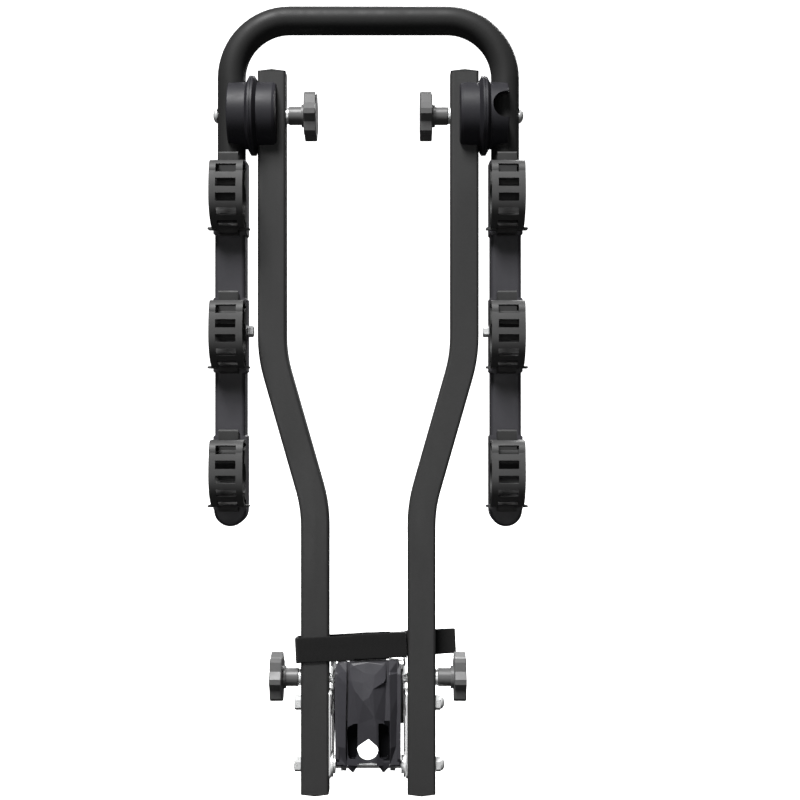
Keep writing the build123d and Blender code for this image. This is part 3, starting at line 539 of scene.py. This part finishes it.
def finger_outline():
    """The finger hole: round below, with a peak at its top."""
    round_part = arc((-0.4, FINGER_Z), FINGER_R, 150, 392, 30)
    return round_part + [(FINGER_PEAK[0], FINGER_Z + FINGER_PEAK[1])]


def slot_cutters():
    """The two slots."""
    return [prism_mesh("slot", slot_outline(side), 1, CUT_FRONT, SLOT_BACK) for _, side in SIDES]


def hole_cutters():
    """The finger hole, and the gap under it that shows the pivot rod."""
    left, right = ROD_GAP
    gap = [(left, GAP_LOW), (right, GAP_LOW), (right, ROD_GAP_TOP), (left, ROD_GAP_TOP)]
    return [prism_mesh("finger", finger_outline(), 1, CUT_FRONT, HOLE_BACK),
            prism_mesh("rod_gap", gap, 1, CUT_FRONT, GAP_BACK)]


def lever_panel():
    """The middle panel: a faceted boss at its top and a ridge that runs down to the finger hole."""
    points = {
        "a": (-18.3, 55.9, -42.4), "b": (0.0, 57.2, -42.0), "c": (18.2, 57.8, -42.4),
        "d": (18.7, 36.5, -42.8), "e": (19.3, -6.0, -41.6), "f": (19.6, -46.6, -41.6),
        "g": (-20.6, -46.6, -43.6), "h": (-20.4, -5.0, -46.4), "i": (-19.2, 38.4, -46.6),
        "b1": (-18.0, 48.4, -45.0), "b2": (-14.6, 52.2, -44.6), "b3": (0.1, 55.0, -43.8),
        "b4": (15.8, 52.6, -44.4), "b5": (17.4, 40.2, -46.4), "b6": (15.9, 36.6, -47.4),
        "b7": (5.0, 30.2, -50.4), "b8": (1.0, 22.1, -51.6), "b9": (-4.8, 18.8, -52.0),
        "b10": (-13.5, 29.3, -49.4), "b11": (-16.4, 38.4, -47.6),
        "p": (-4.6, 46.0, -46.9), "q": (6.6, 43.4, -47.5), "t": (-5.2, 36.0, -49.4),
        "r1": (6.5, 2.1, -50.6), "r2": (8.3, -6.0, -50.2), "r3": (8.8, -46.6, -46.0),
        "m1": (-9.6, -5.0, -48.4), "m2": (-9.6, -46.6, -44.8),
    }
    facets = [
        "a b b3", "a b3 b2", "a b2 b1", "b c b4", "b b4 b3", "c d b5", "c b5 b4", "a b1 i",
        "b1 b11 i", "d b6 b5", "b1 b2 p", "b2 b3 p", "b3 b4 q", "b3 q p", "b4 b5 q", "b5 b6 q",
        "b6 b7 q", "b7 b8 t", "b7 t q", "b8 b9 t", "b9 b10 t", "b10 b11 t", "b11 b1 p", "b11 p t",
        "p q t", "i b11 b10", "i b10 h", "b10 b9 m1", "b10 m1 h",
        "b9 b8 r1", "b9 r1 m1", "r1 r2 m1", "b8 b7 r1", "b7 b6 d", "b7 d r1", "d e r1", "r1 e r2",
        "h m1 m2", "h m2 g", "m1 r2 r3", "m1 r3 m2", "r2 e f", "r2 f r3",
    ]
    mesh = shell_mesh("lever_panel", points, [facet.split() for facet in facets])
    return thickened(mesh, 4.0)


def lever_flange(side):
    """A raised flange that frames the panel on one side. The right one is longer and folds back further."""
    rise = 2.0 if side > 0 else 0.0
    points = {
        "a": (30.0, 55.6 + rise, -42.6), "b": (20.8, 56.1 + rise, -43.6),
        "c": (33.0, 45.0, -44.8), "d": (20.8, 46.2, -47.8),
        "e": (33.2, 36.0, -45.4), "f": (20.9, 35.0, -50.0),
        "g": (32.9, 4.0, -45.6), "h": (21.6, 4.0, -50.2),
        "i": (32.5, -28.0, -44.8), "j": (21.9, -28.0, -48.8),
        "k": (31.8, -47.6, -41.4), "l": (21.2, -48.6, -43.0),
    }
    if side > 0:
        points["c"] = (33.0, 45.0, -40.8)
        points["e"] = (32.6, 30.0, -41.0)
        points["f"] = (20.9, 44.0, -49.6)
        points["g"] = (32.6, 4.0, -39.6)
        points["i"] = (32.3, -28.0, -39.4)
    points = {key: (side * x, z, y) for key, (x, z, y) in points.items()}
    facets = ["a b d", "a d c", "c d f", "c f e", "e f h", "e h g", "g h j", "g j i", "i j l", "i l k"]
    mesh = shell_mesh("lever_flange", points, [facet.split() for facet in facets])
    return thickened(mesh, 4.2)


def thickened(mesh, depth):
    """Gives an open front surface a flat back, depth millimetres behind its deepest point."""
    made = bmesh.new()
    made.from_mesh(mesh)
    back = max(v.co.y for v in made.verts) + depth * MM
    front = list(made.faces)
    grown = bmesh.ops.extrude_face_region(made, geom=front)
    for item in grown["geom"]:
        if isinstance(item, bmesh.types.BMVert):
            item.co.y = back
    bmesh.ops.recalc_face_normals(made, faces=made.faces)
    made.to_mesh(mesh)
    made.free()
    return mesh


def side_wall(side):
    """The wall behind a flange, which reaches back to the pivot rod."""
    outline = [(-41.0, 54.0), (-46.0, 44.0), (-46.4, 0.0), (-45.0, -40.0), (-41.0, -48.2), (-25.0, -48.2),
               (-25.0, -35.0), (-32.0, -20.0), (-36.5, 20.0), (-38.0, 32.0)]
    return prism_mesh("lever_wall", outline, 0, side * WALL_INNER, side * WALL_OUTER)


def lever_backing():
    """The flat web behind the panel and the flanges."""
    outline = [(-30.0, 55.3), (0, 56.9), (30.0, 57.7), (31.0, -46.0), (9.0, -46.0), (9.0, -43.0),
               (-9.0, -43.0), (-9.0, -46.0), (-31.0, -46.0)]
    return prism_mesh("lever_backing", outline, 1, BACKING_FRONT, BACKING_BACK)


def slot_pocket(side):
    """A near-black lining at the bottom of a slot: painted shade that stands in for the shadow inside the
    slot.
    """
    outline = [(side * 9.3, -2.4), (side * 21.4, -2.4), (side * 21.4, -41.0), (side * 9.3, -41.0)]
    return prism_mesh("lever_pocket", outline, 1, POCKET_FRONT, POCKET_BACK)


def lever_foot(side):
    """A pointed foot under the rod."""
    points = [(side * x, y, z) for x, y, z in (
        (9.4, -44.0, -43.2), (9.4, -26.0, -43.2), (20.8, -44.0, -43.2), (20.8, -26.0, -43.2),
        (9.4, -43.0, -46.0), (9.4, -24.0, -48.0), (20.8, -43.0, -48.6), (20.8, -24.0, -48.6),
        (16.0, -40.0, -54.4), (14.4, -40.0, -54.4), (16.0, -29.0, -55.5), (14.4, -29.0, -55.5))]
    return hull_mesh("lever_foot", points)


def lever_piece(name, mesh, cutters, edge=0.0, faceted=False, lining="lever_plastic"):
    """One new piece of the lever: cut, rounded by edge millimetres and, if faceted, shaded flat.

    lining is the material that shows; the slot stays that of the CAD lever."""
    piece = add_object(name, mesh, "lever_plastic", "lever")
    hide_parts("clamp_lever")
    apply_cuts(piece, cutters)
    piece.data.materials[0] = MATERIALS[lining]
    if edge:
        rounded(piece, edge)
    if faceted:
        for polygon in piece.data.polygons:
            polygon.use_smooth = False


def build_lever():
    """The lever's face, its flat web, and a flange, wall, pocket and foot on each side."""
    rod = prism_mesh("rod_space", arc((PIVOT_Y, PIVOT_Z), ROD_HOLE_R, 0, 345, 23), 0,
                     -ROD_HOLE_HALF, ROD_HOLE_HALF)
    lever_piece("lever_face", lever_panel(), slot_cutters() + hole_cutters(), edge=0.35, faceted=True)
    lever_piece("lever_web", lever_backing(), slot_cutters() + hole_cutters())
    for name, side in SIDES:
        lever_piece("lever_flange_" + name, lever_flange(side), hole_cutters(), edge=0.7, faceted=True)
        lever_piece("lever_wall_" + name, side_wall(side), [rod.copy()], edge=0.5)
        # The pocket wears the near-black painted-shade lining.
        lever_piece("lever_pocket_" + name, slot_pocket(side), slot_cutters() + hole_cutters(),
                    lining="lever_slot")
        lever_piece("lever_foot_" + name, lever_foot(side), [rod.copy()], edge=0.5)


# ---------------------------------------------------------------------------
# The webbing strap and its buckle
# ---------------------------------------------------------------------------
# The band, its height on the masts and its slant.
WEB_WIDTH = 25.0
WEB_THICK = 1.5
SELVEDGE = (0.35, 1.2)
WEB_Z = 69.9
WEB_TILT = math.radians(2.65)
# The runs in front of the masts and behind them, and the second layer over the front one.
WEB_CLEAR = 1.2
NEAR_Y = MAST_FRONT_Y - WEB_CLEAR
FAR_Y = MAST_BACK_Y + WEB_CLEAR
LAYER_GAP = 2.4
LAYER_LIFT = 1.5
FAR_DROP = 2.4
# Where the path starts, turns and ends.
WEB_START_X = 20.6
WEB_LEFT_X = -71.8
WEB_LOOP_X = 87.2
WEB_FOLD_X = 37.4
WEB_END_X = -14.6
LOOP_NECK_X = 66.0
WEB_STEP = 2.0
CORNER_STEPS = 6
# The wire buckle.
BUCKLE_RIGHT = 36.3
BUCKLE_OVER = 4.8
WIRE_HALF = 0.75


def round_path(corners, radii):
    """A polyline (x, y) with its inner corners turned into arcs."""
    path = [Vector(corners[0])]
    for before, here, after, radius in zip(corners, corners[1:], corners[2:], radii):
        here = Vector(here)
        back = (Vector(before) - here).normalized()
        ahead = (Vector(after) - here).normalized()
        half = back.angle(ahead) / 2
        reach = radius / math.tan(half)
        centre = here + (back + ahead).normalized() * radius / math.sin(half)
        first = here + back * reach - centre
        last = here + ahead * reach - centre
        turn = first.angle_signed(last)
        for i in range(CORNER_STEPS + 1):
            path.append(centre + Matrix.Rotation(-turn * i / CORNER_STEPS, 2) @ first)
    path.append(Vector(corners[-1]))
    return path


def resample(path, step):
    """The same path with no two points more than step apart."""
    found = [path[0]]
    for start, end in zip(path, path[1:]):
        count = max(1, math.ceil((end - start).length / step))
        found += [start.lerp(end, (i + 1) / count) for i in range(count)]
    return found


def web_mesh(name, path):
    """A band that follows the path, with soft selvedges. It stores its length and width as attributes."""
    mesh = bpy.data.meshes.new(name)
    half, thick = WEB_WIDTH / 2, WEB_THICK / 2
    section = [(-half, 0.0), (-half + SELVEDGE[0], thick * 0.8), (-half + SELVEDGE[1], thick)]
    section += [(x, thick) for x in (-half * 0.5, 0.0, half * 0.5)]
    section += [(-a, b) for a, b in section[2::-1]]
    section += [(a, -b) for a, b in section[-2:0:-1]]
    verts, faces, along, across = [], [], [], []
    run = 0.0
    for index, point in enumerate(path):
        ahead = path[min(index + 1, len(path) - 1)] - path[max(index - 1, 0)]
        normal = Vector((ahead.y, -ahead.x)).normalized()
        if index:
            run += (point - path[index - 1]).length
        # The band sags and waves very slightly, as loose webbing does.
        wave = 0.16 * math.sin(run * 0.11) + 0.10 * math.sin(run * 0.31 + 1.0)
        wave += layer_lift(point.y)
        for width, lift in section:
            spot = point + normal * lift
            verts.append((spot.x * MM, spot.y * MM, (width + wave) * MM))
            along.append(run * MM)
            across.append(width * MM)
    ring = len(section)
    for index in range(len(path) - 1):
        for k in range(ring):
            a, b = index * ring + k, index * ring + (k + 1) % ring
            faces.append((a, b, b + ring, a + ring))
    faces.append(list(range(ring))[::-1])
    faces.append([(len(path) - 1) * ring + k for k in range(ring)])
    mesh.from_pydata(verts, [], faces)
    face_outwards(mesh)
    for label, values in (("along", along), ("across", across)):
        layer = mesh.attributes.new(label, "FLOAT", "POINT")
        layer.data.foreach_set("value", values)
    mesh.transform(Matrix.Translation((0, 0, WEB_Z * MM)) @ Matrix.Rotation(-WEB_TILT, 4, "Y"))
    for polygon in mesh.polygons:
        polygon.use_smooth = True
    return mesh


def layer_lift(y):
    """How far the band sits above its mean line: the folded top layer rides up and the run behind drops."""
    if y < NEAR_Y:
        return LAYER_LIFT * (NEAR_Y - y) / LAYER_GAP
    return -FAR_DROP * min(1.0, (y - NEAR_Y) / (FAR_Y - NEAR_Y))


def build_webbing():
    """The strap: round both masts, out to a folded loop on the right, back and over its own front."""
    near, far = NEAR_Y, FAR_Y
    top = near - LAYER_GAP
    corners = [(WEB_START_X, near), (WEB_LEFT_X, near), (WEB_LEFT_X, far + 2.6), (LOOP_NECK_X, far + 4.2),
               (WEB_LOOP_X, far + 6.2), (WEB_LOOP_X, far + 3.2), (LOOP_NECK_X, far + 0.2),
               (WEB_FOLD_X, far), (WEB_FOLD_X, top), (WEB_END_X, top)]
    path = resample(round_path(corners, (3.2, 3.2, 9.0, 1.3, 1.3, 9.0, 2.0, 1.1)), WEB_STEP)
    band = add_object("webbing_band", web_mesh("webbing_band", path), "webbing", "mast_frame")
    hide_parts("web_strap")
    smooth_by_angle(band, 50.0)


def build_buckle():
    """A ring of square wire. The strap's tail comes up past its right bar, between it and the mast."""
    low, high = box_mm("strap_buckle")
    left, right = low[0] + 0.6, BUCKLE_RIGHT
    y = (low[1] + high[1]) / 2
    top = (WEB_WIDTH + BUCKLE_OVER) / 2
    tilt = math.tan(WEB_TILT)
    made = bmesh.new()
    ring = []
    for x, z in ((left, -top), (right, -top), (right, top), (left, top)):
        inward = (WIRE_HALF * 2 * (1 if x == left else -1), WIRE_HALF * 2 * (1 if z < 0 else -1))
        for a, b in ((0.0, 0.0), inward):
            for depth in (-WIRE_HALF, WIRE_HALF):
                spot = (x + a, y + depth, WEB_Z + z + b + (x + a) * tilt)
                ring.append(made.verts.new([c * MM for c in spot]))
    for corner in range(4):
        here = ring[4 * corner:4 * corner + 4]
        there = ring[4 * ((corner + 1) % 4):][:4]
        for a, b in ((0, 1), (1, 3), (3, 2), (2, 0)):
            made.faces.new((here[a], here[b], there[b], there[a]))
    mesh = finished_mesh("strap_wire", made)
    buckle = add_object("strap_wire", mesh, "buckle_steel", "mast_frame")
    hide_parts("strap_buckle")
    rounded(buckle, 0.4)


# ---------------------------------------------------------------------------
# The end caps of the masts
# ---------------------------------------------------------------------------
CAP_RISE = 2.4
CAP_EDGE = 0.7
CAP_DRAFT = 0.2
MAST_WALL = 2.2
STEM_LENGTH = 12.0


def mast_cap(mast, side, end, way):
    """The cap on one end of one mast. way is 1 for the top and -1 for the bottom."""
    low, high = box_mm("mast_" + mast)
    plug_low, plug_high = box_mm("mast_plugs_" + end)
    half = MAST_WIDTH / 2
    x = side * (max(plug_high[0], -plug_low[0]) - half)
    z = high[2] if way > 0 else low[2]
    edge = half - CAP_DRAFT
    cap = [(x - half, z), (x + half, z), (x + edge, z + way * CAP_EDGE),
           (x, z + way * CAP_RISE), (x - edge, z + way * CAP_EDGE)]
    core = half - MAST_WALL
    foot = z - way * STEM_LENGTH
    stem = [(x - core, foot), (x + core, foot), (x + core, z), (x - core, z)]
    mesh = joined("mast_cap", [prism_mesh("cap", cap, 1, low[1], high[1]),
                               prism_mesh("stem", stem, 1, low[1] + MAST_WALL, high[1] - MAST_WALL)])
    piece = add_object("mast_cap_%s_%s" % (end, mast), mesh, "plug_plastic", "mast_frame")
    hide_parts("mast_plugs_" + end)
    rounded(piece, 0.3)


def build_caps():
    """Plastic caps with a shallow gable, each on a stem inside the end of its mast."""
    for mast, side in SIDES:
        mast_cap(mast, side, "top", 1)
        mast_cap(mast, side, "bottom", -1)


# ---------------------------------------------------------------------------
# Stage, lights and camera
# ---------------------------------------------------------------------------
# The camera looks at this point of the masts' middle plane and sees this width there, in metres.
VIEW_X = 0.0316
VIEW_Z = 0.315
VIEW_DISTANCE = 1.300
VIEW_WIDTH = 0.800
MAST_PLANE_Y = (MAST_FRONT_Y + MAST_BACK_Y) / 2 * MM
SENSOR_WIDTH = 36.0
# The paper bowl, in metres.
FLOOR_DROP = 0.045
BOWL_RADIUS = 3.4
BOWL_BEND = 1.2
BOWL_HEIGHT = 5.5
BOWL_STEPS = 14
BOWL_AROUND = 96


def make_camera():
    """A level camera straight in front, as in the photo."""
    data = bpy.data.cameras.new("camera")
    data.sensor_width = SENSOR_WIDTH
    data.lens = data.sensor_width * VIEW_DISTANCE / VIEW_WIDTH
    data.clip_start = 0.01
    data.clip_end = 50.0
    camera = bpy.data.objects.new("camera", data)
    camera.location = (VIEW_X, MAST_PLANE_Y - VIEW_DISTANCE, VIEW_Z)
    camera.rotation_euler = (math.pi / 2, 0.0, 0.0)
    bpy.context.scene.collection.objects.link(camera)
    bpy.context.scene.camera = camera


def area_light(name, place, target, size, power):
    """A rectangular light at place that faces target."""
    data = bpy.data.lights.new(name, "AREA")
    data.shape = "RECTANGLE"
    data.size, data.size_y = size
    data.energy = power
    light = bpy.data.objects.new(name, data)
    light.location = place
    light.rotation_euler = (Vector(target) - Vector(place)).to_track_quat("-Z", "Y").to_euler()
    bpy.context.scene.collection.objects.link(light)


def make_stage():
    """A pale floor that curves up into a backdrop all round, like a bowl, well clear of the rack."""
    floor_z = cad_box[0][2] - FLOOR_DROP
    profile = [(BOWL_RADIUS, 0.0)]
    for i in range(1, BOWL_STEPS + 1):
        angle = math.pi / 2 * i / BOWL_STEPS
        profile.append((BOWL_RADIUS + BOWL_BEND * math.sin(angle), BOWL_BEND * (1 - math.cos(angle))))
    profile.append((BOWL_RADIUS + BOWL_BEND, BOWL_HEIGHT))
    mesh = bpy.data.meshes.new("studio")
    turned = bmesh.new()
    rings = []
    for radius, height in profile:
        ring = []
        for k in range(BOWL_AROUND):
            angle = 2 * math.pi * k / BOWL_AROUND
            spot = (radius * math.cos(angle), radius * math.sin(angle), floor_z + height)
            ring.append(turned.verts.new(spot))
        rings.append(ring)
    turned.faces.new(rings[0])
    for lower, upper in zip(rings, rings[1:]):
        for k in range(BOWL_AROUND):
            after = (k + 1) % BOWL_AROUND
            turned.faces.new((lower[k], lower[after], upper[after], upper[k]))
    bmesh.ops.recalc_face_normals(turned, faces=turned.faces)
    bmesh.ops.reverse_faces(turned, faces=turned.faces)
    turned.to_mesh(mesh)
    turned.free()
    for polygon in mesh.polygons:
        polygon.use_smooth = True
    studio = bpy.data.objects.new("studio", mesh)
    bpy.context.scene.collection.objects.link(studio)
    paper = Graph("studio_paper", (0.93, 0.93, 0.93), 0.9)
    paper.set("Specular IOR Level", 0.1)
    paper.set("Emission Color", (1.0, 1.0, 1.0, 1.0))
    paper.set("Emission Strength", 0.95)
    mesh.materials.append(paper.material)
    studio.visible_glossy = False
    studio.visible_diffuse = False


def rod_light():
    """A narrow light from low in front, which picks out the pivot rod under the lever's lower edge."""
    target = Vector((0.0, ROD_LOW[1] * MM, (ROD_LOW[2] + 3.0) * MM))
    place = target + Vector((0.0, -0.50, -0.20))
    data = bpy.data.lights.new("rod_light", "SPOT")
    data.energy = 5.0
    data.spot_size = math.radians(2.6)
    data.spot_blend = 0.5
    data.shadow_soft_size = 0.01
    light = bpy.data.objects.new("rod_light", data)
    light.location = place
    light.rotation_euler = (target - place).to_track_quat("-Z", "Y").to_euler()
    bpy.context.scene.collection.objects.link(light)


def make_lights():
    """A strong light from above, a weak one in front, one behind and a faint even room."""
    world = bpy.data.worlds.new("soft_room")
    bpy.context.scene.world = world
    world.use_nodes = True
    background = world.node_tree.nodes["Background"]
    background.inputs["Color"].default_value = (1.0, 1.0, 1.0, 1.0)
    background.inputs["Strength"].default_value = 0.05
    middle = (0.0, MAST_PLANE_Y, VIEW_Z)
    area_light("key_top", (-1.15, -3.0, 5.2), middle, (1.8, 1.8), 560.0)
    area_light("front_soft", (-0.1, -3.2, 0.0), middle, (1.0, 1.0), 9.0)
    area_light("back_top", (0.9, 2.6, 2.4), middle, (1.8, 1.4), 150.0)
    rod_light()
    scene = bpy.context.scene
    scene.view_settings.view_transform = "Standard"
    scene.view_settings.look = "None"


# ---------------------------------------------------------------------------
# The rack
# ---------------------------------------------------------------------------
dress_cad_nodes()
build_lever()
build_webbing()
build_buckle()
build_caps()
make_stage()
make_lights()
make_camera()
